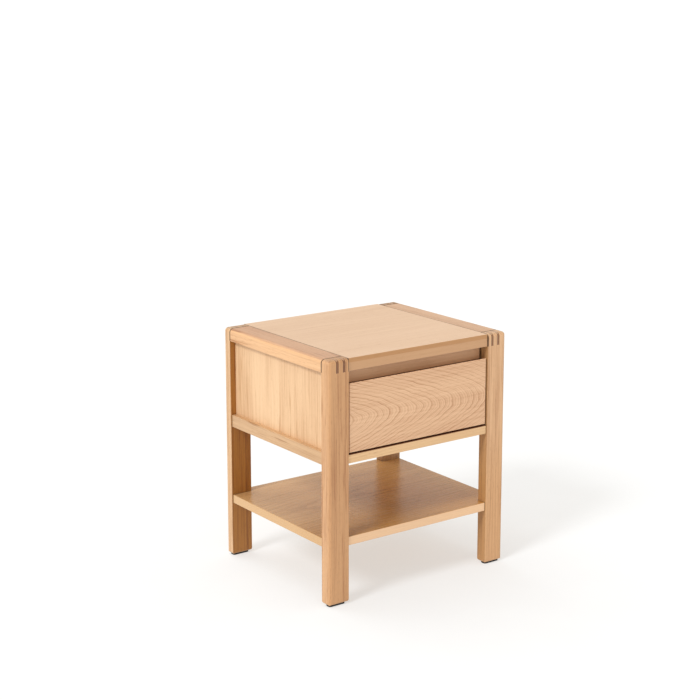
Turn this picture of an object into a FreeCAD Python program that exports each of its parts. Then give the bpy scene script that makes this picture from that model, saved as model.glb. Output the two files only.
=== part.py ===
"""Oak bedside table: four legs, one finger-pull drawer on telescopic slides and an open shelf.

Millimetres, +Z up.  The origin is on the floor, below the middle of the table.
X runs across the front, from left to right; the front faces -Y.
"""
import FreeCAD
import Part
import os

# ---- overall ----
WIDTH = 450.0
DEPTH = 380.0
HEIGHT = 500.0

# ---- legs and top frame ----
LEG_WIDTH = 48.0
LEG_DEPTH = 24.0
LEG_ROUND = 8.0
TOP_THICKNESS = 26.0
FINGER_WIDTH = 4.5
FINGER_INSETS = (11.0, 27.0)
FOOT_ROUND = 5.0
JOINT_GROOVE = 1.2
FACE_INSET = 2.0
EDGE_ROUND = 1.0

# ---- foot pads ----
PAD_MARGIN = 5.0
PAD_HEIGHT = 4.0
PAD_ROUND = 4.0
NAIL_DIAMETER = 2.6
NAIL_LENGTH = 16.0
NAIL_SINK = 1.2
NAIL_HEAD_DIAMETER = 5.0
NAIL_HEAD_HEIGHT = 0.8

# ---- levels ----
SHELF_CLEARANCE = 120.0
SHELF_THICKNESS = 18.0
DECK_THICKNESS = 18.0
SIDE_RAIL_HEIGHT = 26.0

# ---- panels ----
SIDE_PANEL_RECESS = 13.0
SIDE_PANEL_THICKNESS = 12.0
BACK_PANEL_RECESS = 8.0
BACK_PANEL_THICKNESS = 8.0
GROOVE_DEPTH = 6.0
TENON_WIDTH = 24.0
TENON_HEIGHT = 14.0
TENON_LENGTH = 15.0
TENON_LIFT = 4.0

# ---- drawer ----
FRONT_HEIGHT = 139.5
FINGER_GAP = 25.0
FRONT_THICKNESS = 20.0
FRONT_SIDE_GAP = 3.5
FRONT_BOTTOM_GAP = 3.5
FRONT_LIP = 3.0
GRIP_DROP = 13.0
BOX_SIDE_GAP = 4.5
BOARD = 12.0
BOX_TOP_GAP = 4.0
BOX_SIDE_STEP = 9.0
BOX_REAR_GAP = 6.0
DRAWER_BOTTOM_THICKNESS = 6.0
DRAWER_GROOVE = 5.0

# ---- slides ----
SLIDE_FRONT_MARGIN = 6.0
SLIDE_REAR_MARGIN = 18.0
SHEET = 1.5
SLIDE_WIDTH = 30.0
SLIDE_SIDE_GAP = 4.5
SLIDE_PLAY = 0.6
TRACK_HEIGHT = 6.0
MIDDLE_HEIGHT = 10.9
MIDDLE_OVERHANG = 8.0
BOX_LIFT = 7.0
BRACKET_HEIGHT = 30.0
ROD_DIAMETER = 6.0
ROD_END_MARGIN = 1.0
BATTEN_HEIGHT = 26.0
BUMPER_DIAMETER = 10.0
BUMPER_GAP = 0.5
BUMPER_MARGIN = 56.5

# ---- fixings ----
DOWEL_DIAMETER = 8.0
DOWEL_LENGTH = 40.0
SHORT_DOWEL_LENGTH = 30.0
THIN_DOWEL_DIAMETER = 6.0
THIN_DOWEL_LENGTH = 24.0
THIN_DOWEL_BLIND = 8.0
BOX_DOWEL_COUNT = 3
HOLE_PLAY = 0.1
HOLE_SPARE = 1.0
FRAME_DOWEL_COUNT = 4
FRAME_DOWEL_MARGIN = 34.0
SHELF_DOWEL_INSET = 36.0
CAM_INSET = 16.0
CAM_DIAMETER = 15.0
CAM_HEIGHT = 12.5
CAM_REACH = 24.0
CAM_KEY = 4.0
CAM_KEY_DEPTH = 2.5
CAM_BOLT_DIAMETER = 6.0
CAM_BOLT_BITE = 13.0
SCREW_DIAMETER = 3.6
SCREW_HEAD_DIAMETER = 7.0
SCREW_HEAD_HEIGHT = 1.4
BRACKET_SCREW_LENGTH = 16.0
BRACKET_SCREW_COUNT = 3
BRACKET_SCREW_MARGIN = 30.0
BRACKET_SCREW_RISE = 21.0
FRONT_SCREW_LENGTH = 26.0
FRONT_SCREW_SIDE_MARGIN = 46.5
FRONT_SCREW_LOW_MARGIN = 30.0
FRONT_SCREW_HIGH_MARGIN = 40.0
DRIVE_SLOT_LENGTH = 4.0
DRIVE_SLOT_WIDTH = 0.9
DRIVE_SLOT_DEPTH = 0.8

# ---- derived levels and planes ----
LEFT = -WIDTH / 2
FRONT = -DEPTH / 2
LEG_INNER_X = LEFT + LEG_WIDTH
LEG_INNER_Y = FRONT + LEG_DEPTH
FACE_X = LEFT + FACE_INSET
FACE_Y = FRONT + FACE_INSET
TOP_UNDERSIDE = HEIGHT - TOP_THICKNESS
FRONT_TOP = TOP_UNDERSIDE - FINGER_GAP
FRONT_UNDERSIDE = FRONT_TOP - FRONT_HEIGHT
DECK_TOP = FRONT_UNDERSIDE - FRONT_BOTTOM_GAP
DECK_UNDERSIDE = DECK_TOP - DECK_THICKNESS
SHELF_TOP = SHELF_CLEARANCE + SHELF_THICKNESS
SIDE_RAIL_TOP = DECK_UNDERSIDE + SIDE_RAIL_HEIGHT
SIDE_PANEL_OUTER = LEFT + SIDE_PANEL_RECESS
SIDE_PANEL_INNER = SIDE_PANEL_OUTER + SIDE_PANEL_THICKNESS
BACK_PANEL_REAR = -FRONT - BACK_PANEL_RECESS
BACK_PANEL_FRONT = BACK_PANEL_REAR - BACK_PANEL_THICKNESS

FRONT_BACK = FACE_Y + FRONT_THICKNESS
FRONT_LEFT = LEG_INNER_X + FRONT_SIDE_GAP
BOX_LEFT = LEG_INNER_X + BOX_SIDE_GAP
BOX_INNER_LEFT = BOX_LEFT + BOARD
BOX_INNER_FRONT = FRONT_BACK + BOARD
BOX_BACK = BACK_PANEL_FRONT - BOX_REAR_GAP
BOX_UNDERSIDE = DECK_TOP + BOX_LIFT
BOX_SIDE_TOP = FRONT_TOP - BOX_SIDE_STEP
BOX_FRONT_TOP = TOP_UNDERSIDE - BOX_TOP_GAP

SLIDE_FRONT = BOX_INNER_FRONT + SLIDE_FRONT_MARGIN
SLIDE_BACK = BOX_BACK - SLIDE_REAR_MARGIN
SLIDE_OUTER = BOX_INNER_LEFT + SLIDE_SIDE_GAP
SLIDE_INNER = SLIDE_OUTER + SLIDE_WIDTH
TRACK_TOP = DECK_TOP + TRACK_HEIGHT
MIDDLE_BASE = DECK_TOP + SHEET + SLIDE_PLAY
MIDDLE_TOP = MIDDLE_BASE + MIDDLE_HEIGHT
RUNNER_BASE = TRACK_TOP + SLIDE_PLAY
RUNNER_TOP = MIDDLE_TOP + SLIDE_PLAY + SHEET
MIDDLE_INSET = SHEET + SLIDE_PLAY
MIDDLE_BACK = SLIDE_BACK + MIDDLE_OVERHANG
DRAWER_FLOOR = RUNNER_TOP + DRAWER_BOTTOM_THICKNESS
BATTEN_TOP = SIDE_RAIL_TOP + BATTEN_HEIGHT

SAME = 0.01
ALONG_X = FreeCAD.Vector(1, 0, 0)
ALONG_Y = FreeCAD.Vector(0, 1, 0)
ALONG_Z = FreeCAD.Vector(0, 0, 1)
ORIGIN = FreeCAD.Vector(0, 0, 0)


# ---- small helpers ----
def block(x_range, y_range, z_range):
    """A block between two corners."""
    low = FreeCAD.Vector(x_range[0], y_range[0], z_range[0])
    size = [end - start for start, end in (x_range, y_range, z_range)]
    return Part.makeBox(size[0], size[1], size[2], low)


def rod(start, direction, length, diameter):
    """A round bar from a point."""
    return Part.makeCylinder(diameter / 2, length, FreeCAD.Vector(*start), direction)


def centred_rod(middle, direction, length, diameter):
    """A round bar that runs equally far both ways from a point."""
    start = FreeCAD.Vector(*middle) - direction * (length / 2)
    return Part.makeCylinder(diameter / 2, length, start, direction)


def edges_at(shape, **planes):
    """Edges that lie wholly in the given planes, such as x=0 and z=500."""
    found = []
    for edge in shape.Edges:
        bounds = edge.BoundBox
        spans = {
            "x": (bounds.XMin, bounds.XMax),
            "y": (bounds.YMin, bounds.YMax),
            "z": (bounds.ZMin, bounds.ZMax),
        }
        ends = [abs(end - value) for axis, value in planes.items() for end in spans[axis]]
        if max(ends) < SAME:
            found.append(edge)
    return found


def long_edges(board):
    """The four edges of a board that run along the front and the back of the table."""
    bounds = board.BoundBox
    return [
        edge
        for y in (FACE_Y, -FACE_Y)
        for z in (bounds.ZMin, bounds.ZMax)
        for edge in edges_at(board, y=y, z=z)
    ]


def spread(start, end, count):
    """Evenly spaced places from start to end."""
    return [start + (end - start) * step / (count - 1) for step in range(count)]


def cut_all(shape, tools):
    """The shape less each tool."""
    for tool in tools:
        shape = shape.cut(tool)
    return shape


def fuse_all(shapes):
    """The shapes as one solid."""
    return shapes[0].multiFuse(shapes[1:]).removeSplitter()


def to_right(shape):
    """The copy on the right side."""
    return shape.mirror(ORIGIN, ALONG_X)


def to_rear(shape):
    """The copy at the rear."""
    return shape.mirror(ORIGIN, ALONG_Y)


def on_side(shape, side):
    """The shape itself on the left, its mirror image on the right."""
    return to_right(shape) if side == "right" else shape


def both_sides(shapes):
    """The shapes and their mirror images on the right."""
    return shapes + [to_right(shape) for shape in shapes]


def save(name, shapes):
    """Write one node; several solids in a node stay separate."""
    whole = shapes[0] if len(shapes) == 1 else Part.makeCompound(shapes)
    whole.exportStep("parts/" + name + ".step")


# ---- holes that more than one piece shares ----
def frame_dowel_places():
    """Places along the rails for the dowels of the top panel and of the deck."""
    reach = -LEG_INNER_Y - FRAME_DOWEL_MARGIN
    return spread(-reach, reach, FRAME_DOWEL_COUNT)


def dowel(middle, direction, length, diameter, play):
    """A dowel, or with play its hole."""
    spare = HOLE_SPARE if play else 0.0
    return centred_rod(middle, direction, length + 2 * spare, diameter + 2 * play)


def top_dowels(play):
    """Dowels between the left top rail and the top panel."""
    level = TOP_UNDERSIDE + TOP_THICKNESS / 2
    return [
        dowel((LEG_INNER_X, y, level), ALONG_X, DOWEL_LENGTH, DOWEL_DIAMETER, play)
        for y in frame_dowel_places()
    ]


def deck_dowels(play):
    """Dowels between the left lower rail and the deck under the drawer."""
    level = DECK_UNDERSIDE + DECK_THICKNESS / 2
    return [
        dowel((LEG_INNER_X, y, level), ALONG_X, DOWEL_LENGTH, DOWEL_DIAMETER, play)
        for y in frame_dowel_places()
    ]


def shelf_dowel(play):
    """The dowel between the front left leg and the shelf."""
    middle = (LEG_INNER_X - SHELF_DOWEL_INSET, LEG_INNER_Y, SHELF_CLEARANCE + SHELF_THICKNESS / 2)
    return dowel(middle, ALONG_Y, SHORT_DOWEL_LENGTH, DOWEL_DIAMETER, play)


def cam_bolt(play):
    """The bolt that the front left cam pulls, or with play its hole."""
    start = (LEG_INNER_X - CAM_INSET, LEG_INNER_Y - CAM_BOLT_BITE, SHELF_CLEARANCE + SHELF_THICKNESS / 2)
    return rod(start, ALONG_Y, CAM_BOLT_BITE + CAM_REACH, CAM_BOLT_DIAMETER + 2 * play)


def cam_body(play):
    """The round of the front left cam, let into the shelf from below."""
    start = (LEG_INNER_X - CAM_INSET, LEG_INNER_Y + CAM_REACH, SHELF_CLEARANCE)
    return rod(start, ALONG_Z, CAM_HEIGHT, CAM_DIAMETER + 2 * play)


def foot_nail(play):
    """The nail that holds the front left foot pad, or with play the hole for its shank."""
    x = LEFT + LEG_WIDTH / 2
    y = FRONT + LEG_DEPTH / 2
    shank = rod((x, y, NAIL_SINK), ALONG_Z, NAIL_LENGTH, NAIL_DIAMETER + 2 * play)
    if play:
        return shank
    head = rod((x, y, NAIL_SINK - NAIL_HEAD_HEIGHT), ALONG_Z, NAIL_HEAD_HEIGHT, NAIL_HEAD_DIAMETER)
    return fuse_all([head, shank])


def four_corners(shape):
    """The front left shape and its copies at the other three legs."""
    return both_sides([shape, to_rear(shape)])


# ---- side frames ----
def side_panel():
    """The left side panel, let into the legs and both rails."""
    reach = LEG_INNER_Y - GROOVE_DEPTH
    return block(
        (SIDE_PANEL_OUTER, SIDE_PANEL_INNER),
        (reach, -reach),
        (SIDE_RAIL_TOP - GROOVE_DEPTH, TOP_UNDERSIDE + GROOVE_DEPTH),
    )


def lower_tenon():
    """The tenon of the left lower rail in the front leg."""
    middle = (FACE_X + LEG_INNER_X) / 2
    base = DECK_UNDERSIDE + TENON_LIFT
    return block(
        (middle - TENON_WIDTH / 2, middle + TENON_WIDTH / 2),
        (LEG_INNER_Y - TENON_LENGTH, LEG_INNER_Y),
        (base, base + TENON_HEIGHT),
    )


def finger_slots():
    """The two slots in the head of the front left leg."""
    return [
        block(
            (LEG_INNER_X - inset - FINGER_WIDTH / 2, LEG_INNER_X - inset + FINGER_WIDTH / 2),
            (FRONT, LEG_INNER_Y),
            (TOP_UNDERSIDE, HEIGHT),
        )
        for inset in FINGER_INSETS
    ]


def leg_head():
    """The top of the front left leg before its slots, rounded outside and in front."""
    head = block((LEFT, LEG_INNER_X), (FRONT, LEG_INNER_Y), (TOP_UNDERSIDE, HEIGHT))
    outer = (
        edges_at(head, x=LEFT, y=FRONT)
        + edges_at(head, x=LEFT, z=HEIGHT)
        + edges_at(head, y=FRONT, z=HEIGHT)
    )
    head = head.makeFillet(LEG_ROUND, outer)
    under = edges_at(head, z=TOP_UNDERSIDE)
    inner = edges_at(head, x=LEG_INNER_X)
    rear = [edge for edge in edges_at(head, y=LEG_INNER_Y)
            if not any(edge.isSame(other) for other in under + inner)]
    return head.makeChamfer(JOINT_GROOVE, rear)


def leg_blank():
    """The front left leg without joints."""
    x_range = (LEFT, LEG_INNER_X)
    y_range = (FRONT, LEG_INNER_Y)
    z_range = (PAD_HEIGHT, TOP_UNDERSIDE)
    post = block(x_range, y_range, z_range)
    post = post.makeFillet(LEG_ROUND, edges_at(post, x=LEFT, y=FRONT))
    across = block(x_range, y_range, z_range)
    sides = edges_at(across, x=LEFT, z=PAD_HEIGHT) + edges_at(across, x=LEG_INNER_X, z=PAD_HEIGHT)
    along = block(x_range, y_range, z_range)
    ends = edges_at(along, y=FRONT, z=PAD_HEIGHT) + edges_at(along, y=LEG_INNER_Y, z=PAD_HEIGHT)
    post = post.common(across.makeFillet(FOOT_ROUND, sides)).common(along.makeFillet(FOOT_ROUND, ends))
    return fuse_all([post, leg_head()])


def front_leg():
    """The front left leg with its joints cut."""
    tools = finger_slots() + [side_panel(), lower_tenon()]
    tools += [shelf_dowel(HOLE_PLAY), cam_bolt(HOLE_PLAY), foot_nail(HOLE_PLAY)]
    return cut_all(leg_blank(), tools)


def rear_leg():
    """The rear left leg, which also holds the back panel."""
    return to_rear(front_leg()).cut(back_panel())


def top_rail():
    """The left top rail with the fingers that pass through both leg heads."""
    rail = block((LEFT, LEG_INNER_X), (LEG_INNER_Y, -LEG_INNER_Y), (TOP_UNDERSIDE, HEIGHT))
    rail = rail.makeFillet(LEG_ROUND, edges_at(rail, x=LEFT, z=HEIGHT))
    grooved = edges_at(rail, x=LEG_INNER_X, z=HEIGHT)
    for end in (LEG_INNER_Y, -LEG_INNER_Y):
        skipped = edges_at(rail, y=end, z=TOP_UNDERSIDE) + edges_at(rail, y=end, x=LEG_INNER_X)
        grooved += [edge for edge in edges_at(rail, y=end)
                    if not any(edge.isSame(other) for other in skipped)]
    rail = rail.makeChamfer(JOINT_GROOVE, grooved)
    head = leg_head()
    fingers = [head.common(slot) for slot in finger_slots()]
    fingers += [to_rear(finger) for finger in fingers]
    rail = fuse_all([rail] + fingers)
    return cut_all(rail, [side_panel()] + top_dowels(HOLE_PLAY))


def lower_rail():
    """The left rail under the side panel."""
    rail = block((FACE_X, LEG_INNER_X), (LEG_INNER_Y, -LEG_INNER_Y), (DECK_UNDERSIDE, SIDE_RAIL_TOP))
    outer = edges_at(rail, x=FACE_X, z=DECK_UNDERSIDE) + edges_at(rail, x=FACE_X, z=SIDE_RAIL_TOP)
    rail = rail.makeFillet(EDGE_ROUND, outer)
    tenon = lower_tenon()
    rail = fuse_all([rail, tenon, to_rear(tenon)])
    return cut_all(rail, [side_panel()] + deck_dowels(HOLE_PLAY))


def batten():
    """The left batten that carries the slide, level with the legs' inner faces."""
    body = block((SIDE_PANEL_INNER, LEG_INNER_X), (LEG_INNER_Y, -LEG_INNER_Y), (SIDE_RAIL_TOP, BATTEN_TOP))
    return cut_all(body, bracket_screws(HOLE_PLAY))


# ---- flat panels ----
def top_panel():
    """The top panel between the two top rails."""
    panel = block((LEG_INNER_X, -LEG_INNER_X), (FACE_Y, -FACE_Y), (TOP_UNDERSIDE, HEIGHT))
    grooved = edges_at(panel, x=LEG_INNER_X, z=HEIGHT) + edges_at(panel, x=-LEG_INNER_X, z=HEIGHT)
    panel = panel.makeChamfer(JOINT_GROOVE, grooved)
    panel = panel.makeFillet(EDGE_ROUND, long_edges(panel))
    return cut_all(panel, [back_panel()] + both_sides(top_dowels(HOLE_PLAY)))


def back_panel():
    """The back panel, let into the rear legs, the top and the deck."""
    reach = LEG_INNER_X - GROOVE_DEPTH
    return block(
        (reach, -reach),
        (BACK_PANEL_FRONT, BACK_PANEL_REAR),
        (DECK_TOP - GROOVE_DEPTH, TOP_UNDERSIDE + GROOVE_DEPTH),
    )


def deck():
    """The board under the drawer, between the lower rails."""
    board = block((LEG_INNER_X, -LEG_INNER_X), (FACE_Y, -FACE_Y), (DECK_UNDERSIDE, DECK_TOP))
    board = board.makeFillet(EDGE_ROUND, long_edges(board))
    return cut_all(board, [back_panel()] + both_sides(deck_dowels(HOLE_PLAY)))


def shelf():
    """The open shelf, notched round the four legs."""
    levels = (SHELF_CLEARANCE, SHELF_TOP)
    across = block((FACE_X, -FACE_X), (LEG_INNER_Y, -LEG_INNER_Y), levels)
    along = block((LEG_INNER_X, -LEG_INNER_X), (FACE_Y, -FACE_Y), levels)
    board = fuse_all([across, along])
    rims = [
        edge
        for z in levels
        for edge in (
            edges_at(board, x=FACE_X, z=z)
            + edges_at(board, x=-FACE_X, z=z)
            + edges_at(board, y=FACE_Y, z=z)
            + edges_at(board, y=-FACE_Y, z=z)
        )
    ]
    board = board.makeFillet(EDGE_ROUND, rims)
    tools = []
    for hole in (shelf_dowel(HOLE_PLAY), cam_bolt(HOLE_PLAY), cam_body(HOLE_PLAY)):
        tools += four_corners(hole)
    return cut_all(board, tools)


# ---- feet and hidden fixings ----
def foot_pad():
    """The pad under the front left leg."""
    x_range = (LEFT + PAD_MARGIN, LEG_INNER_X - PAD_MARGIN)
    y_range = (FRONT + PAD_MARGIN, LEG_INNER_Y - PAD_MARGIN)
    pad = block(x_range, y_range, (0.0, PAD_HEIGHT))
    corners = [edge for x in x_range for y in y_range for edge in edges_at(pad, x=x, y=y)]
    pad = pad.makeFillet(PAD_ROUND, corners)
    middle = (sum(x_range) / 2, sum(y_range) / 2, 0.0)
    nail_recess = rod(middle, ALONG_Z, NAIL_SINK, NAIL_HEAD_DIAMETER + 2 * HOLE_PLAY)
    return cut_all(pad, [nail_recess, foot_nail(HOLE_PLAY)])


def shelf_cam():
    """The front left cam with the hole for its bolt and a key recess below."""
    centre_x = LEG_INNER_X - CAM_INSET
    centre_y = LEG_INNER_Y + CAM_REACH
    half = CAM_KEY / 2
    key = block(
        (centre_x - half, centre_x + half),
        (centre_y - half, centre_y + half),
        (SHELF_CLEARANCE, SHELF_CLEARANCE + CAM_KEY_DEPTH),
    )
    return cut_all(cam_body(0.0), [cam_bolt(HOLE_PLAY), key])


def screw(seat, direction, length, play):
    """A screw whose head stands on the seat against its direction, or with play its hole."""
    start = FreeCAD.Vector(*seat)
    shank = Part.makeCylinder(SCREW_DIAMETER / 2 + play, length, start, direction)
    if play:
        return shank
    head_start = start - direction * SCREW_HEAD_HEIGHT
    head = Part.makeCylinder(SCREW_HEAD_DIAMETER / 2, SCREW_HEAD_HEIGHT, head_start, direction)
    whole = fuse_all([head, shank])
    across = direction.cross(ALONG_Z)
    arms = []
    for first, second in ((across, ALONG_Z), (ALONG_Z, across)):
        corner = head_start - first * (DRIVE_SLOT_LENGTH / 2) - second * (DRIVE_SLOT_WIDTH / 2)
        steps = (first * DRIVE_SLOT_LENGTH, second * DRIVE_SLOT_WIDTH)
        points = [corner, corner + steps[0], corner + steps[0] + steps[1], corner + steps[1], corner]
        arms.append(Part.Face(Part.makePolygon(points)).extrude(direction * DRIVE_SLOT_DEPTH))
    return cut_all(whole, arms)


def bracket_screws(play):
    """Screws through the left slide bracket into its batten."""
    level = DECK_TOP + BRACKET_SCREW_RISE
    places = spread(
        SLIDE_FRONT + BRACKET_SCREW_MARGIN, SLIDE_BACK - BRACKET_SCREW_MARGIN, BRACKET_SCREW_COUNT
    )
    seats = [(LEG_INNER_X + SHEET, y, level) for y in places]
    return [screw(seat, -ALONG_X, BRACKET_SCREW_LENGTH, play) for seat in seats]


def front_screws(play):
    """Screws from inside the drawer box into the drawer front."""
    reach = BOX_INNER_LEFT + FRONT_SCREW_SIDE_MARGIN
    levels = (FRONT_UNDERSIDE + FRONT_SCREW_LOW_MARGIN, FRONT_TOP - FRONT_SCREW_HIGH_MARGIN)
    seats = [(x, BOX_INNER_FRONT, level) for x in (reach, -reach) for level in levels]
    return [screw(seat, -ALONG_Y, FRONT_SCREW_LENGTH, play) for seat in seats]


def rear_bumper():
    """The left rubber button on the back panel that the drawer closes against."""
    level = (BOX_UNDERSIDE + BOX_SIDE_TOP) / 2
    length = BOX_REAR_GAP - BUMPER_GAP
    place = BOX_INNER_LEFT + BUMPER_MARGIN
    return rod((place, BACK_PANEL_FRONT - length, level), ALONG_Y, length, BUMPER_DIAMETER)


# ---- drawer ----
def drawer_front():
    """The drawer front; its top slopes down behind a narrow lip for the fingers."""
    outline = [
        (FACE_Y, FRONT_UNDERSIDE),
        (FRONT_BACK, FRONT_UNDERSIDE),
        (FRONT_BACK, FRONT_TOP - GRIP_DROP),
        (FACE_Y + FRONT_LIP, FRONT_TOP),
        (FACE_Y, FRONT_TOP),
        (FACE_Y, FRONT_UNDERSIDE),
    ]
    points = [FreeCAD.Vector(FRONT_LEFT, y, z) for y, z in outline]
    board = Part.Face(Part.makePolygon(points)).extrude(ALONG_X * (-2 * FRONT_LEFT))
    board = board.makeFillet(EDGE_ROUND, edges_at(board, y=FACE_Y))
    return cut_all(board, front_screws(HOLE_PLAY))


def drawer_bottom():
    """The drawer bottom, let into the sides and the inner front."""
    return block(
        (BOX_INNER_LEFT - DRAWER_GROOVE, -BOX_INNER_LEFT + DRAWER_GROOVE),
        (BOX_INNER_FRONT - DRAWER_GROOVE, BOX_BACK),
        (RUNNER_TOP, DRAWER_FLOOR),
    )


def box_dowel_levels():
    """Heights of the dowels in each corner of the drawer box."""
    return spread(DRAWER_FLOOR, BOX_SIDE_TOP, BOX_DOWEL_COUNT + 2)[1:-1]


def side_joint_dowels(play):
    """Dowels between the left drawer side and the inner front."""
    x = BOX_LEFT + BOARD / 2
    y = BOX_INNER_FRONT + THIN_DOWEL_LENGTH / 2 - THIN_DOWEL_BLIND
    return [
        dowel((x, y, level), ALONG_Y, THIN_DOWEL_LENGTH, THIN_DOWEL_DIAMETER, play)
        for level in box_dowel_levels()
    ]


def back_joint_dowels(play):
    """Dowels between the left drawer side and the drawer back."""
    x = BOX_INNER_LEFT + THIN_DOWEL_LENGTH / 2 - THIN_DOWEL_BLIND
    y = BOX_BACK - BOARD / 2
    return [
        dowel((x, y, level), ALONG_X, THIN_DOWEL_LENGTH, THIN_DOWEL_DIAMETER, play)
        for level in box_dowel_levels()
    ]


def inner_front():
    """The front board of the drawer box; its upper part is the back of the finger gap."""
    board = block((BOX_LEFT, -BOX_LEFT), (FRONT_BACK, BOX_INNER_FRONT), (BOX_UNDERSIDE, BOX_FRONT_TOP))
    board = board.makeFillet(EDGE_ROUND, edges_at(board, z=BOX_FRONT_TOP))
    tools = [drawer_bottom()] + front_screws(HOLE_PLAY) + both_sides(side_joint_dowels(HOLE_PLAY))
    return cut_all(board, tools)


def drawer_side():
    """The left side of the drawer box."""
    board = block((BOX_LEFT, BOX_INNER_LEFT), (BOX_INNER_FRONT, BOX_BACK), (BOX_UNDERSIDE, BOX_SIDE_TOP))
    tops = edges_at(board, x=BOX_LEFT, z=BOX_SIDE_TOP) + edges_at(board, x=BOX_INNER_LEFT, z=BOX_SIDE_TOP)
    board = board.makeFillet(EDGE_ROUND, tops)
    tools = [drawer_bottom()] + side_joint_dowels(HOLE_PLAY) + back_joint_dowels(HOLE_PLAY)
    return cut_all(board, tools)


def drawer_back():
    """The back of the drawer box, standing on the bottom."""
    inside = BOX_BACK - BOARD
    board = block((BOX_INNER_LEFT, -BOX_INNER_LEFT), (inside, BOX_BACK), (DRAWER_FLOOR, BOX_SIDE_TOP))
    tops = edges_at(board, y=inside, z=BOX_SIDE_TOP) + edges_at(board, y=BOX_BACK, z=BOX_SIDE_TOP)
    board = board.makeFillet(EDGE_ROUND, tops)
    return cut_all(board, both_sides(back_joint_dowels(HOLE_PLAY)))


# ---- slides ----
def channel(x_range, y_range, z_range, open_upwards):
    """A sheet channel that is open at its top or its bottom."""
    outer = block(x_range, y_range, z_range)
    base = (z_range[0] + SHEET, z_range[1]) if open_upwards else (z_range[0], z_range[1] - SHEET)
    return outer.cut(block((x_range[0] + SHEET, x_range[1] - SHEET), y_range, base))


def slide_bracket():
    """The upright plate of the left slide, on the batten and the lower rail."""
    plate = block(
        (LEG_INNER_X, LEG_INNER_X + SHEET),
        (SLIDE_FRONT, SLIDE_BACK),
        (DECK_TOP, DECK_TOP + BRACKET_HEIGHT),
    )
    return cut_all(plate, bracket_screws(HOLE_PLAY))


def slide_track():
    """The fixed track of the left slide, lying on the deck."""
    y_range = (SLIDE_FRONT, SLIDE_BACK)
    foot = block((LEG_INNER_X + SHEET, SLIDE_OUTER), y_range, (DECK_TOP, DECK_TOP + SHEET))
    track = channel((SLIDE_OUTER, SLIDE_INNER), y_range, (DECK_TOP, TRACK_TOP), True)
    return fuse_all([foot, track])


def slide_middle():
    """The telescopic member of the left slide."""
    return channel(
        (SLIDE_OUTER + MIDDLE_INSET, SLIDE_INNER - MIDDLE_INSET),
        (SLIDE_FRONT + ROD_END_MARGIN, MIDDLE_BACK),
        (MIDDLE_BASE, MIDDLE_TOP),
        False,
    )


def slide_runner():
    """The member of the left slide under the drawer bottom."""
    return channel((SLIDE_OUTER, SLIDE_INNER), (SLIDE_FRONT, SLIDE_BACK), (RUNNER_BASE, RUNNER_TOP), False)


def slide_clip():
    """The left catch that holds the drawer box on its runner."""
    return block((SLIDE_OUTER, SLIDE_INNER), (BOX_INNER_FRONT, SLIDE_FRONT), (BOX_UNDERSIDE, RUNNER_TOP))


def sync_rod():
    """The cross rod that keeps the two telescopic members level."""
    reach = SLIDE_INNER - MIDDLE_INSET
    level = TRACK_TOP + ROD_END_MARGIN + ROD_DIAMETER / 2
    behind = SLIDE_BACK + ROD_END_MARGIN + ROD_DIAMETER / 2
    return rod((reach, behind, level), ALONG_X, -2 * reach, ROD_DIAMETER)


# ---- the whole table ----
def main():
    os.makedirs("parts", exist_ok=True)
    paired = {
        "leg_front": front_leg(),
        "leg_rear": rear_leg(),
        "top_rail": top_rail(),
        "lower_rail": lower_rail(),
        "side_panel": side_panel(),
        "slide_batten": batten(),
        "drawer_side": drawer_side(),
        "slide_bracket": slide_bracket(),
        "slide_track": slide_track(),
        "slide_middle": slide_middle(),
        "slide_runner": slide_runner(),
        "slide_clip": slide_clip(),
        "foot_pad_front": foot_pad(),
        "foot_pad_rear": to_rear(foot_pad()),
    }
    for name, shape in paired.items():
        for side in ("left", "right"):
            save(name + "_" + side, [on_side(shape, side)])
    save("top_panel", [top_panel()])
    save("back_panel", [back_panel()])
    save("deck", [deck()])
    save("shelf", [shelf()])
    save("drawer_front", [drawer_front()])
    save("drawer_inner_front", [inner_front()])
    save("drawer_back", [drawer_back()])
    save("drawer_bottom", [drawer_bottom()])
    save("slide_sync_rod", [sync_rod()])
    save("rear_bumpers", both_sides([rear_bumper()]))
    save("foot_nails", four_corners(foot_nail(0.0)))
    save("top_dowels", both_sides(top_dowels(0.0)))
    save("deck_dowels", both_sides(deck_dowels(0.0)))
    save("shelf_dowels", four_corners(shelf_dowel(0.0)))
    save("shelf_cams", four_corners(shelf_cam()))
    save("shelf_cam_bolts", four_corners(cam_bolt(0.0)))
    save("drawer_dowels", both_sides(side_joint_dowels(0.0) + back_joint_dowels(0.0)))
    save("drawer_front_screws", front_screws(0.0))
    save("slide_bracket_screws", both_sides(bracket_screws(0.0)))


main()
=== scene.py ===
import math

import bpy
from mathutils import Matrix, Vector


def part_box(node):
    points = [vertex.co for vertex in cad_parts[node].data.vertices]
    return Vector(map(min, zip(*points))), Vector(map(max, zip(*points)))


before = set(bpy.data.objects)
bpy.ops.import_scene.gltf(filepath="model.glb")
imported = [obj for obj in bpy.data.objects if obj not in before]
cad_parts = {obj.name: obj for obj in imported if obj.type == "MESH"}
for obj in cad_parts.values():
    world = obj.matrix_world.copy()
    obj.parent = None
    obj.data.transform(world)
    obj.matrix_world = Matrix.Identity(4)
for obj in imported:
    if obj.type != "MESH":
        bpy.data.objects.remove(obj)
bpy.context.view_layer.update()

# ---- camera ----
CAMERA_YAW = math.radians(-35.99)
CAMERA_PITCH = math.radians(11.36)
CAMERA_DISTANCE = 3.2425
CAMERA_SIDEWAYS = -0.02918
CAMERA_HEIGHT = 1.2307
CAMERA_LENS = 82.1
CAMERA_SENSOR = 36.0
CAMERA_SHIFT = -0.0834

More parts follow.
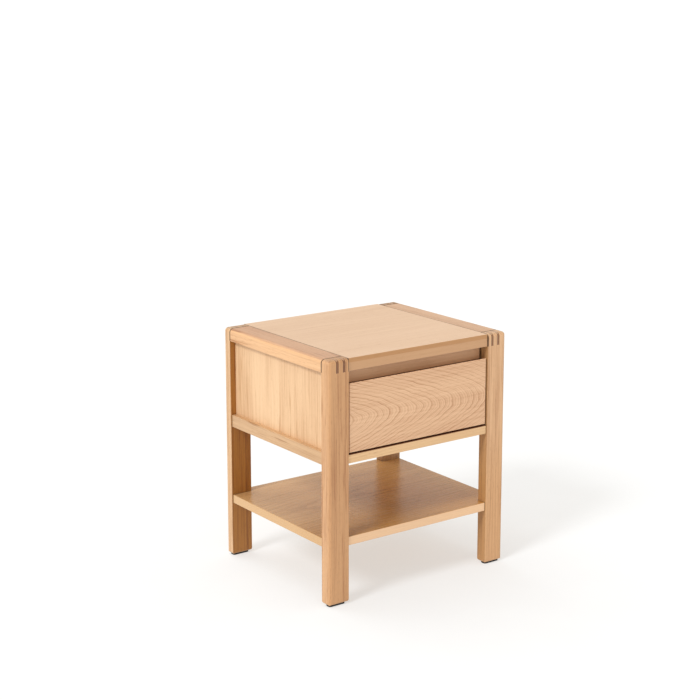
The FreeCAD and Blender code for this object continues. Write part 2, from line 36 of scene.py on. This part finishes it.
# ---- light ----
KEY_TOWARDS = Vector((-0.75, -0.18, 0.64))
KEY_STRENGTH = 1.6
KEY_SPREAD = math.radians(15)
KEY_TINT = (0.98, 1.0, 1.03)
REAR_TOWARDS = Vector((-0.12, 0.50, 0.86))
REAR_STRENGTH = 0.7
REAR_SPREAD = math.radians(40)
REAR_TINT = (1.0, 1.0, 1.0)
ROOM_TINT = (1.0, 0.97, 0.92, 1.0)
AMBIENT = 0.8
BACKDROP = 1.12

# ---- floor ----
FLOOR_SIZE = 60.0
FLOOR_MOTTLE = 9.0
FLOOR_GLOW = 0.52
FLOOR_ROUGHNESS = 0.9

# ---- joints, in metres ----
# Middles of the two fingers in a leg head, measured from the top's seam.
FINGER_INSETS = (0.011, 0.027)
FINGER_WIDTH = 0.0045
# Half widths of the dark joint lines, glue and painted shade in the seams, which fade towards their edges.
FINGER_LINE = 0.0008
HEAD_SIDE_LINE = 0.0017
TOP_LINE = 0.0018
SEAM_LINE = 0.002
HEAD_END_LINE = 0.0022
GLUE_AND_SHADE_STRENGTH = 0.95
# The painted shade line in the finger gap lies between these depths below the drawer front's upper edge.
GRIP_DEPTH = 0.010
GRIP_LIP = 0.0037
# The shadow line under the drawer front starts and is full at these depths below the deck's top.
SHADOW_START = 0.0014
SHADOW_FULL = 0.0006
top_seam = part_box("top_panel")[1].x
top_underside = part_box("top_panel")[0].z
leg_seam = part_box("slide_batten_left")[1].y
deck_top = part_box("deck")[1].z
front_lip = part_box("drawer_front")[1].z

# ---- marks on wood ----
TURNED_FROM = 0.55
TURNED_FULLY = 0.92
STRIP_SOFTNESS = 0.0006

# ---- wood: lengths in metres, and shares of the way from its pale to its dark colour ----
# Two axes across the grain, then the one along it.
GRAIN_ORDER = {"X": "YZX", "Y": "XZY", "Z": "XYZ"}
STAVE_SHIFT = 3.0
SEED_STEPS = (7.3, 3.1, 1.7)
# Patterns: features per metre across and along the grain, place in the noise, and detail.
FIBRES = (650, 9, 11.0, 3.0)
LINES = (260, 4, 17.0, 2.0)
DRIFT = (16, 3, 23.0, 2.0)
PATCHES = (22, 7, 29.0, 2.0)
PORES = (1500, 80, 37.0, 1.0)
STREAKS = (130, 7, 41.0, 2.0)
# Waves in the rings: a pattern, and its height in multiples of a timber's wander.
RING_WAVES = (((12, 9, 3.0, 2.0), 6.0), ((48, 30, 5.0, 2.0), 3.0), ((110, 50, 7.0, 2.0), 1.6))
# Rings differ in width: how fast the width changes from ring to ring, and how much, in rings.
WIDTH_CHANGES = 0.4
WIDTH_SPREAD = 1.6
LATE_RISE = 0.14
LATE_START = 0.12
FAINTEST_RING = 0.35
THIN_LINES = 3.0
PLAIN_SHADE = 0.18
# Where in its pattern's noise a pore or a streak begins, and where it is full.
PORE_RANGE = (0.08, 0.20)
STREAK_RANGE = (0.13, 0.24)
FIBRE_SHADE = 1.2
LINE_SHADE = 1.6
PORE_TINT = (0.45, 0.38, 0.32)
STREAK_TINT = (0.85, 0.75, 0.6)
BAND_RELIEF = -0.25
FIBRE_RELIEF = 0.35
PORE_RELIEF = -1.0
RELIEF_HEIGHT = 0.0005
RELIEF_STRENGTH = 0.6
FIBRE_ROUGHNESS = 0.16
PORE_ROUGHNESS = 0.18

# ---- metal and plastic, in features per metre ----
BRUSHED_ACROSS = 1800.0
BRUSHED_ALONG = 12.0
DULL_PATCHES = 45.0
SCUFFS = 160.0


def colour(red, green, blue):
    """A linear colour from display values between 0 and 255."""
    def linear(value):
        share = value / 255
        return share / 12.92 if share <= 0.04045 else ((share + 0.055) / 1.055) ** 2.4

    return (linear(red), linear(green), linear(blue), 1.0)


# The dark colour of the joint lines: glue, and painted shade in the seams between parts.
GLUE_AND_SHADE = colour(60, 38, 22)


class Graph:
    """The nodes of one material."""

    def __init__(self, name):
        self.material = bpy.data.materials.new(name)
        self.material.use_nodes = True
        self.tree = self.material.node_tree
        self.shader = self.tree.nodes["Principled BSDF"]
        self.place = self.node("TexCoord").outputs

    def feed(self, socket, value):
        """Link a socket, or set its value."""
        if isinstance(value, bpy.types.NodeSocket):
            self.tree.links.new(value, socket)
        else:
            socket.default_value = value

    def node(self, kind, inputs=(), **settings):
        """A new node with its settings and inputs."""
        made = self.tree.nodes.new("ShaderNode" + kind)
        for key, value in settings.items():
            setattr(made, key, value)
        for key, value in dict(inputs).items():
            self.feed(made.inputs[key], value)
        return made

    def math(self, operation, *values):
        """One sum on plain numbers."""
        return self.node("Math", enumerate(values), operation=operation).outputs[0]

    def vector(self, operation, *values):
        """One sum on vectors."""
        return self.node("VectorMath", enumerate(values), operation=operation).outputs[0]

    def remap(self, value, start, end, low=0.0, high=1.0):
        """The value eased from low to high as it goes from start to end."""
        sockets = {"Value": value, "From Min": start, "From Max": end, "To Min": low, "To Max": high}
        return self.node("MapRange", sockets, interpolation_type="SMOOTHSTEP").outputs["Result"]

    def mix(self, share, first, second, blend="MIX"):
        """A blend of two colours."""
        made = self.node("Mix", data_type="RGBA", blend_type=blend)
        for socket, value in zip((made.inputs[0], made.inputs[6], made.inputs[7]), (share, first, second)):
            self.feed(socket, value)
        return made.outputs[2]

    def tinted(self, base, tint):
        """A colour multiplied by a tint."""
        return self.mix(1.0, base, (*tint, 1.0), "MULTIPLY")

    def noise(self, vector, detail=2.0, roughness=0.5):
        """Noise between 0 and 1 with features one unit across."""
        sockets = {"Vector": vector, "Scale": 1.0, "Detail": detail, "Roughness": roughness}
        return self.node("TexNoise", sockets).outputs[0]

    def spots(self, scale, detail, roughness):
        """Noise between 0 and 1 with a number of features per metre, alike or one for each axis."""
        scales = scale if isinstance(scale, tuple) else (scale, scale, scale)
        return self.noise(self.vector("MULTIPLY", self.place["Object"], scales), detail, roughness)

    def chance(self, number):
        """A random value between 0 and 1 for each whole number."""
        whole = self.math("FLOOR", number)
        return self.node("TexWhiteNoise", {"W": whole}, noise_dimensions="1D").outputs["Value"]

    def bump(self, height, distance, strength):
        """Relief from a height between 0 and 1."""
        made = self.node("Bump", {"Strength": strength, "Distance": distance, "Height": height})
        self.feed(self.shader.inputs["Normal"], made.outputs[0])

    def finish(self, base, rough, metal=0.0):
        """Set the shader and hand over the material."""
        self.feed(self.shader.inputs["Base Color"], base)
        self.feed(self.shader.inputs["Roughness"], rough)
        self.feed(self.shader.inputs["Metallic"], metal)
        return self.material


class Wood(Graph):
    """The nodes of one timber, with its places measured across and along the grain."""

    def __init__(self, name, grain, seed, staves):
        super().__init__(name)
        self.seed = seed
        self.axes = self.node("SeparateXYZ", {0: self.place["Object"]}).outputs
        self.facing = self.node("SeparateXYZ", {0: self.place["Normal"]}).outputs
        self.first, self.second, self.length = [self.axes[axis] for axis in GRAIN_ORDER[grain]]
        self.stave_chance = None
        if staves:
            axis, width = staves
            self.stave_chance = self.chance(self.math("MULTIPLY_ADD", self.axes[axis], 1 / width, seed))
            self.length = self.math("MULTIPLY_ADD", self.stave_chance, STAVE_SHIFT, self.length)
        ordered = {0: self.first, 1: self.second, 2: self.length}
        self.run = self.node("CombineXYZ", ordered).outputs[0]

    def pattern(self, across, along, offset, detail):
        """Noise centred on zero, stretched along the grain, in another place for each seed."""
        shift = [self.seed * step for step in SEED_STEPS]
        shift[0] += offset
        stretched = self.vector("MULTIPLY_ADD", self.run, (across, across, along), shift)
        return self.math("SUBTRACT", self.noise(stretched, detail, 0.55), 0.5)

    def pith_distance(self, centre, slope, taper, wander):
        """Distance from the pith line, growing along the grain by the taper, with small waves."""
        pith_first = self.math("MULTIPLY_ADD", self.length, slope[0], centre[0])
        pith_second = self.math("MULTIPLY_ADD", self.length, slope[1], centre[1])
        off_first = self.math("SUBTRACT", self.first, pith_first)
        off_second = self.math("SUBTRACT", self.second, pith_second)
        square = self.math("MULTIPLY", off_second, off_second)
        square = self.math("MULTIPLY_ADD", off_first, off_first, square)
        distance = self.math("MULTIPLY_ADD", self.length, taper, self.math("SQRT", square))
        for wave, height in RING_WAVES:
            distance = self.math("MULTIPLY_ADD", self.pattern(*wave), height * wander, distance)
        return distance

    def ring_count(self, distance, spacing):
        """Distance counted in rings, which differ in width."""
        count = self.math("DIVIDE", distance, spacing)
        place = self.node("CombineXYZ", {0: self.math("MULTIPLY", count, WIDTH_CHANGES), 1: self.seed})
        return self.math("MULTIPLY_ADD", self.noise(place.outputs[0], 0.0), WIDTH_SPREAD, count)

    def late_wood(self, count, late):
        """The dark part of each ring, fainter in some rings and some places."""
        phase = self.math("FRACT", count)
        fall = self.remap(phase, LATE_START, LATE_START + late, 1.0, 0.0)
        band = self.math("MULTIPLY", self.remap(phase, 0.0, LATE_RISE), fall)
        band = self.math("MULTIPLY", band, self.remap(self.chance(count), -0.4, 1.0, FAINTEST_RING, 1.0))
        patches = self.remap(self.pattern(*PATCHES), -0.25, 0.25, FAINTEST_RING, 1.0)
        return self.math("MULTIPLY", band, patches)

    def thin_lines(self, count):
        """Thin lines between the rings."""
        phase = self.math("FRACT", self.math("MULTIPLY", count, THIN_LINES))
        return self.math("MULTIPLY", self.remap(phase, 0.0, 0.25), self.remap(phase, 0.25, 0.7, 1.0, 0.0))

    def turned(self, axis, side):
        """How far a face looks along one axis, or towards one side of it: 0 or 1 with a soft change."""
        towards = self.facing[axis]
        towards = self.math("MULTIPLY", towards, side) if side else self.math("ABSOLUTE", towards)
        return self.remap(towards, TURNED_FROM, TURNED_FULLY)


def joint_line(axis, plane, reach, above=0.0, beyond=("X", 0.0)):
    """A dark line of glue and painted seam shade on each side of the middle, above a level and only where
    one axis is far out.
    """
    def mark(wood, base):
        off = wood.math("SUBTRACT", wood.math("ABSOLUTE", wood.axes[axis]), plane)
        share = wood.remap(wood.math("ABSOLUTE", off), 0.2 * reach, reach, GLUE_AND_SHADE_STRENGTH, 0.0)
        share = wood.math("MULTIPLY", share, wood.math("GREATER_THAN", wood.axes["Z"], above))
        outward = wood.math("ABSOLUTE", wood.axes[beyond[0]])
        share = wood.math("MULTIPLY", share, wood.math("GREATER_THAN", outward, beyond[1]))
        return wood.mix(share, base, GLUE_AND_SHADE)

    return mark


def face_tone(axis, tint, side=0):
    """Another tone on the faces that look along one axis, or towards one side of it."""
    def mark(wood, base):
        return wood.mix(wood.turned(axis, side), base, wood.tinted(base, tint))

    return mark


def plain_face(axis, shade, cover):
    """Quieter grain on the faces that look along one axis, partly covered by an even colour."""
    def mark(wood, base):
        return wood.mix(wood.math("MULTIPLY", wood.turned(axis, 0), cover), base, shade)

    return mark


def edge_strip(low, high, tint, side=0):
    """A strip of another tone between two levels on the front and rear faces, or on one of them."""
    def mark(wood, base):
        level = wood.axes["Z"]
        over = wood.remap(level, low - STRIP_SOFTNESS, low + STRIP_SOFTNESS)
        under = wood.remap(level, high - STRIP_SOFTNESS, high + STRIP_SOFTNESS, 1.0, 0.0)
        share = wood.math("MULTIPLY", wood.turned("Y", side), over)
        share = wood.math("MULTIPLY", share, under)
        return wood.mix(share, base, wood.tinted(base, tint))

    return mark


def fade(axis, start, end, tint):
    """A tint that grows from one level to another."""
    def mark(wood, base):
        share = wood.remap(wood.axes[axis], start, end)
        return wood.mix(share, base, wood.tinted(base, tint))

    return mark


def timber(name, grain, pale, dark, seed, centre=(0.0, 0.2), slope=(0.0, 0.0), taper=0.0, spacing=0.004,
           wander=0.001, late=0.8, rings=0.5, fine=0.0, fibre=0.5, tone=0.9, pores=0.45, staves=None,
           stave_tone=0.35, streaks=0.0, dullness=0.5, marks=()):
    """Solid wood with growth rings round a pith line, fibres, pores and its own marks."""
    wood = Wood(name, grain, seed, staves)
    count = wood.ring_count(wood.pith_distance(centre, slope, taper, wander), spacing)
    band = wood.late_wood(count, late)
    fibres = wood.pattern(*FIBRES)
    pits = wood.remap(wood.pattern(*PORES), *PORE_RANGE)
    pits = wood.math("MULTIPLY", pits, wood.math("MULTIPLY_ADD", band, 0.7, 0.3))

    shade = wood.math("MULTIPLY_ADD", band, rings, PLAIN_SHADE)
    shade = wood.math("MULTIPLY_ADD", wood.thin_lines(count), fine, shade)
    shade = wood.math("MULTIPLY_ADD", fibres, FIBRE_SHADE * fibre, shade)
    shade = wood.math("MULTIPLY_ADD", wood.pattern(*LINES), LINE_SHADE * fibre, shade)
    shade = wood.math("MULTIPLY_ADD", wood.pattern(*DRIFT), tone, shade)
    if staves:
        shade = wood.math("MULTIPLY_ADD", wood.math("SUBTRACT", wood.stave_chance, 0.5), stave_tone, shade)

    base = wood.mix(wood.remap(shade, -0.1, 1.1), pale, dark)
    base = wood.mix(wood.math("MULTIPLY", pits, pores), base, wood.tinted(dark, PORE_TINT))
    if streaks:
        share = wood.math("MULTIPLY", wood.remap(wood.pattern(*STREAKS), *STREAK_RANGE), streaks)
        base = wood.mix(share, base, wood.tinted(dark, STREAK_TINT))
    for mark in marks:
        base = mark(wood, base)

    relief = wood.math("MULTIPLY", band, BAND_RELIEF)
    relief = wood.math("MULTIPLY_ADD", fibres, FIBRE_RELIEF, relief)
    relief = wood.math("MULTIPLY_ADD", pits, PORE_RELIEF, relief)
    wood.bump(relief, RELIEF_HEIGHT * dullness, RELIEF_STRENGTH)
    rough = wood.math("MULTIPLY_ADD", fibres, FIBRE_ROUGHNESS, dullness)
    rough = wood.math("MULTIPLY_ADD", pits, PORE_ROUGHNESS, rough)
    return wood.finish(base, rough)


def oak_drawer_front():
    """A plain-sawn face with nested arches that point to the right."""
    pith_behind_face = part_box("drawer_front")[0].y + 0.03
    return timber("oak_drawer_front", "X", colour(235, 193, 154), colour(188, 134, 94), 1.0,
                  centre=(pith_behind_face, 0.374), slope=(0.06, -0.01), taper=0.26, spacing=0.0062,
                  wander=0.0013, late=0.34, rings=0.58, fine=0.28, fibre=0.36, tone=0.6, pores=0.45)


def oak_top():
    """Pale wood with very fine, nearly straight grain and browner long edges."""
    edge_middle = top_underside + 0.017
    edge_above = top_underside + 0.03
    return timber("oak_top", "X", colour(214, 182, 152), colour(194, 156, 121), 2.0,
                  centre=(0.05, 0.30), slope=(0.03, 0.01), spacing=0.006, rings=0.2, fibre=0.34,
                  tone=0.5, pores=0.3, staves=("Y", 0.09), stave_tone=0.12,
                  marks=(plain_face("Y", colour(214, 172, 134), 0.25),
                         face_tone("Y", (0.9, 0.76, 0.6)),
                         edge_strip(edge_middle, edge_above, (0.87, 0.78, 0.62)),
                         joint_line("X", top_seam, TOP_LINE, top_underside)))


def oak_shelf():
    """Browner wood with a gentle figure and a smoother finish, paler on its edges, with painted shade
    towards the front and painted light towards the right.
    """
    return timber("oak_shelf", "X", colour(197, 156, 107), colour(154, 110, 66), 3.0,
                  centre=(0.02, 0.02), slope=(0.12, 0.03), spacing=0.005, wander=0.0006, rings=0.42,
                  fibre=0.5, tone=0.6, pores=0.4, dullness=0.27,
                  # Painted shade growing towards the front edge, and painted light growing towards the
                  # right end.
                  marks=(fade("Y", 0.0, -leg_seam, (0.83, 0.72, 0.50)),
                         fade("X", -0.05, 0.15, (1.18, 1.15, 1.05)),
                         plain_face("Y", colour(255, 214, 173), 0.72),
                         plain_face("X", colour(215, 175, 127), 0.7),
                         joint_line("X", top_seam, SEAM_LINE, 0.0, ("Y", leg_seam)),
                         joint_line("Y", leg_seam, SEAM_LINE, 0.0, ("X", top_seam))))


def oak_deck():
    """The board under the drawer, dark in the gap below the drawer front."""
    shadow = fade("Z", deck_top - SHADOW_START, deck_top - SHADOW_FULL, (0.2, 0.09, 0.05))
    return timber("oak_deck", "X", colour(232, 192, 144), colour(196, 148, 100), 6.0,
                  centre=(0.02, 0.5), slope=(0.02, 0.01), spacing=0.005, rings=0.4, fibre=0.4,
                  pores=0.3, marks=(shadow, joint_line("X", top_seam, SEAM_LINE)))


def oak_panel():
    """Upright staves of pale wood."""
    return timber("oak_panel", "Z", colour(230, 192, 150), colour(192, 145, 101), 4.0,
                  centre=(-0.3, 0.03), slope=(0.0, 0.05), spacing=0.0045, rings=0.25, fibre=0.45,
                  tone=1.1, pores=0.35, staves=("Y", 0.052), stave_tone=0.18, streaks=0.7)


def head_joints():
    """The dark lines round each leg head, and along both sides of each finger in it."""
    lines = [joint_line("X", top_seam, HEAD_SIDE_LINE, top_underside),
             joint_line("Y", leg_seam, HEAD_END_LINE, top_underside)]
    for inset in FINGER_INSETS:
        for side in (-1, 1):
            place = top_seam + inset + side * FINGER_WIDTH / 2
            lines.append(joint_line("X", place, FINGER_LINE, top_underside, ("Y", leg_seam)))
    return lines


def oak_leg(name, pale, dark, seed, *own_marks):
    """Upright leg timber of one tone, with greyish end grain on its head."""
    return timber(name, "Z", pale, dark, seed, centre=(0.06, -0.26), slope=(0.015, 0.01), spacing=0.0042,
                  rings=0.34, fibre=1.1, pores=0.5, streaks=0.5,
                  marks=(*own_marks, face_tone("Z", (0.80, 0.84, 0.90)), *head_joints()))


def oak_rail(name, pale, dark, seed, *marks):
    """Rail timber of one tone, with its grain from front to back."""
    return timber(name, "Y", pale, dark, seed, centre=(-0.1, 0.42), slope=(0.03, 0.02), spacing=0.004,
                  rings=0.22, fibre=0.5, pores=0.45, streaks=0.8, dullness=0.36, marks=marks)


def oak_top_rail(name, pale, dark, seed, *own_marks):
    """A top rail, whose finger ends show dark end grain in the leg heads."""
    return oak_rail(name, pale, dark, seed, *own_marks, face_tone("Y", (0.5, 0.38, 0.3)), *head_joints())


def oak_lower_rail(name, seed):
    """A lower rail, with a dark line at each leg."""
    return oak_rail(name, colour(206, 167, 124), colour(163, 118, 77), seed,
                    joint_line("Y", leg_seam, SEAM_LINE))


def box_timber(name, grain, pale, dark, seed, *marks):
    """Quiet wood of the drawer's inner boards."""
    return timber(name, grain, pale, dark, seed, centre=(0.1, 0.45), slope=(0.02, 0.02), spacing=0.005,
                  rings=0.35, fibre=0.4, pores=0.25, marks=marks)


def inner_front():
    """The board behind the drawer front, with painted shade on its front face, darkest where the two meet
    at the bottom of the finger gap.
    """
    return box_timber("drawer_inner_front", "X", colour(221, 182, 143), colour(198, 154, 114), 5.0,
                      # Painted shade on the front face in the finger gap, and a dark painted shade line at
                      # its bottom.
                      face_tone("Y", (0.87, 0.81, 0.77), -1),
                      edge_strip(front_lip - GRIP_DEPTH, front_lip - GRIP_LIP, (0.14, 0.08, 0.05), -1))


def box_wood():
    """The drawer back, with darker end grain."""
    return box_timber("drawer_box", "X", colour(214, 176, 136), colour(182, 138, 98), 7.0,
                      face_tone("X", (0.8, 0.76, 0.7)))


def side_wood():
    """The drawer sides, with their grain from front to back."""
    return box_timber("drawer_side", "Y", colour(222, 190, 150), colour(192, 152, 110), 8.0,
                      face_tone("Y", (0.8, 0.76, 0.7)))


def plywood():
    """Birch plywood of the drawer bottom."""
    return timber("drawer_plywood", "X", colour(226, 198, 158), colour(202, 166, 122), 9.0,
                  centre=(0.0, 0.4), slope=(0.06, 0.02), spacing=0.009, wander=0.003, rings=0.3, fibre=0.3,
                  pores=0.12, marks=(face_tone("X", (0.85, 0.8, 0.74)),))


def batten_wood():
    """Planed softwood of the slide battens."""
    return timber("batten_wood", "Y", colour(224, 190, 140), colour(190, 140, 88), 10.0,
                  centre=(-0.2, 0.36), slope=(0.01, 0.0), spacing=0.003, rings=0.6, fibre=0.2, pores=0.1,
                  marks=(face_tone("Y", (0.7, 0.62, 0.54)),))


def dowel_beech():
    """Beech dowels."""
    return timber("dowel_beech", "X", colour(222, 182, 140), colour(196, 150, 108), 11.0,
                  rings=0.2, fibre=0.3, pores=0.2, marks=(face_tone("X", (0.7, 0.62, 0.54)),))


def brushed_metal(name, tint, rough, along):
    """Metal with fine lines along one axis and a few dull patches."""
    g = Graph(name)
    scales = tuple(BRUSHED_ALONG if axis == along else BRUSHED_ACROSS for axis in "XYZ")
    lines = g.spots(scales, 2.0, 0.6)
    patches = g.spots(DULL_PATCHES, 3.0, 0.6)
    base = g.mix(g.remap(patches, 0.35, 0.75), tint, g.tinted(tint, (0.72, 0.72, 0.74)))
    g.bump(lines, 0.00004, 0.5)
    roughness = g.math("MULTIPLY_ADD", patches, 0.12, rough - 0.13)
    roughness = g.math("MULTIPLY_ADD", lines, 0.14, roughness)
    return g.finish(base, roughness, metal=1.0)


def moulded(name, tint, rough, grit):
    """Moulded plastic or rubber with a fine grain and lighter scuffs."""
    g = Graph(name)
    scuffs = g.remap(g.spots(SCUFFS, 4.0, 0.65), 0.5, 0.75)
    base = g.mix(g.math("MULTIPLY", scuffs, 0.25), tint, colour(120, 116, 112))
    g.bump(g.spots(grit, 2.0, 0.5), 0.00008, 0.6)
    return g.finish(base, g.math("MULTIPLY_ADD", scuffs, 0.15, rough))


# ---- materials by the record's slot, and by node where timbers differ ----
by_slot = {
    "oak_top": oak_top(),
    "oak_shelf": oak_shelf(),
    "oak_panel": oak_panel(),
    "oak_drawer_front": oak_drawer_front(),
    "drawer_box": box_wood(),
    "drawer_plywood": plywood(),
    "batten_wood": batten_wood(),
    "dowel_beech": dowel_beech(),
    "slide_steel": brushed_metal("slide_steel", colour(196, 198, 200), 0.34, "Y"),
    "screw_steel": brushed_metal("screw_steel", colour(176, 176, 178), 0.3, "X"),
    "cam_zinc": brushed_metal("cam_zinc", colour(168, 170, 174), 0.42, "Z"),
    "clip_plastic": moulded("clip_plastic", colour(176, 178, 180), 0.45, 2600.0),
    "pad_black": moulded("pad_black", colour(20, 18, 17), 0.7, 1800.0),
    "bumper_rubber": moulded("bumper_rubber", colour(60, 58, 56), 0.7, 2200.0),
}
drawer_side = side_wood()
by_node = {
    # Painted light: both side faces of the left front leg are lighter and paler.
    "leg_front_left": oak_leg("oak_leg_front_left", colour(207, 157, 110), colour(161, 104, 63), 12.0,
                              face_tone("X", (1.04, 1.1, 1.18))),
    # Painted shade on the inner side face of the right front leg; the leg also grows darker and browner
    # towards its foot.
    "leg_front_right": oak_leg("oak_leg_front_right", colour(229, 185, 141), colour(187, 136, 95), 13.0,
                               face_tone("X", (0.67, 0.62, 0.49), -1),
                               fade("Z", 0.36, 0.14, (0.88, 0.80, 0.69))),
    # Painted shade: the front face of the left rear leg is darker and browner.
    "leg_rear_left": oak_leg("oak_leg_rear_left", colour(216, 176, 134), colour(168, 122, 80), 14.0,
                             face_tone("Y", (0.58, 0.38, 0.12), -1)),
    "leg_rear_right": oak_leg("oak_leg_rear_right", colour(182, 137, 92), colour(137, 88, 50), 15.0),
    # Painted light: the side faces of the left top rail are lighter.
    "top_rail_left": oak_top_rail("oak_top_rail_left", colour(198, 152, 114), colour(159, 108, 71), 16.0,
                                  face_tone("X", (1.39, 1.51, 1.45))),
    # Painted shade: the top face of the right top rail is slightly darker.
    "top_rail_right": oak_top_rail("oak_top_rail_right", colour(214, 172, 132), colour(178, 132, 92), 17.0,
                                   face_tone("Z", (0.9, 0.885, 0.9), 1)),
    "lower_rail_left": oak_lower_rail("oak_lower_rail_left", 18.0),
    "lower_rail_right": oak_lower_rail("oak_lower_rail_right", 19.0),
    "deck": oak_deck(),
    "drawer_inner_front": inner_front(),
    "drawer_side_left": drawer_side,
    "drawer_side_right": drawer_side,
}
for name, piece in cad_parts.items():
    for slot in piece.material_slots:
        slot.material = by_node.get(name) or by_slot[slot.material.name]


def floor():
    """A wide pale floor with a faint mottle, slightly bright in itself so that shadows stay light."""
    bpy.ops.mesh.primitive_plane_add(size=FLOOR_SIZE, location=(0.0, 0.0, 0.0))
    plane = bpy.context.object
    plane.name = "floor"
    g = Graph("floor")
    base = g.mix(g.spots(FLOOR_MOTTLE, 3.0, 0.5), colour(168, 170, 172), colour(172, 174, 176))
    g.shader.inputs["Emission Color"].default_value = colour(255, 253, 250)
    g.shader.inputs["Emission Strength"].default_value = FLOOR_GLOW
    g.shader.inputs["Specular IOR Level"].default_value = 0.0
    plane.data.materials.append(g.finish(base, FLOOR_ROUGHNESS))


def sun(name, towards, strength, spread, tint):
    """A distant soft lamp."""
    data = bpy.data.lights.new(name, "SUN")
    data.energy = strength
    data.angle = spread
    data.color = tint
    lamp = bpy.data.objects.new(name, data)
    lamp.rotation_euler = towards.to_track_quat("Z", "Y").to_euler()
    bpy.context.scene.collection.objects.link(lamp)


def room():
    """An even, slightly warm white room, brighter where the camera sees it as the backdrop."""
    world = bpy.data.worlds.new("room")
    bpy.context.scene.world = world
    world.use_nodes = True
    tree = world.node_tree
    background = tree.nodes["Background"]
    background.inputs["Color"].default_value = ROOM_TINT
    seen = tree.nodes.new("ShaderNodeLightPath").outputs["Is Camera Ray"]
    level = tree.nodes.new("ShaderNodeMapRange")
    level.inputs["To Min"].default_value = AMBIENT
    level.inputs["To Max"].default_value = BACKDROP
    tree.links.new(seen, level.inputs["Value"])
    tree.links.new(level.outputs["Result"], background.inputs["Strength"])


def camera():
    """The camera at the photograph's viewing angle."""
    ahead = Vector((-math.sin(CAMERA_YAW), math.cos(CAMERA_YAW), 0.0))
    right = Vector((math.cos(CAMERA_YAW), math.sin(CAMERA_YAW), 0.0))
    forward = ahead * math.cos(CAMERA_PITCH) - Vector((0.0, 0.0, math.sin(CAMERA_PITCH)))
    up = right.cross(forward)
    data = bpy.data.cameras.new("camera")
    data.lens = CAMERA_LENS
    data.sensor_width = CAMERA_SENSOR
    data.shift_y = CAMERA_SHIFT
    eye = bpy.data.objects.new("camera", data)
    turn = Matrix((right, up, -forward)).transposed()
    place = -ahead * CAMERA_DISTANCE + right * CAMERA_SIDEWAYS + Vector((0.0, 0.0, CAMERA_HEIGHT))
    eye.matrix_world = Matrix.Translation(place) @ turn.to_4x4()
    bpy.context.scene.collection.objects.link(eye)
    bpy.context.scene.camera = eye


floor()
sun("key", KEY_TOWARDS, KEY_STRENGTH, KEY_SPREAD, KEY_TINT)
sun("rear", REAR_TOWARDS, REAR_STRENGTH, REAR_SPREAD, REAR_TINT)
room()
camera()
bpy.context.scene.view_settings.view_transform = "Standard"
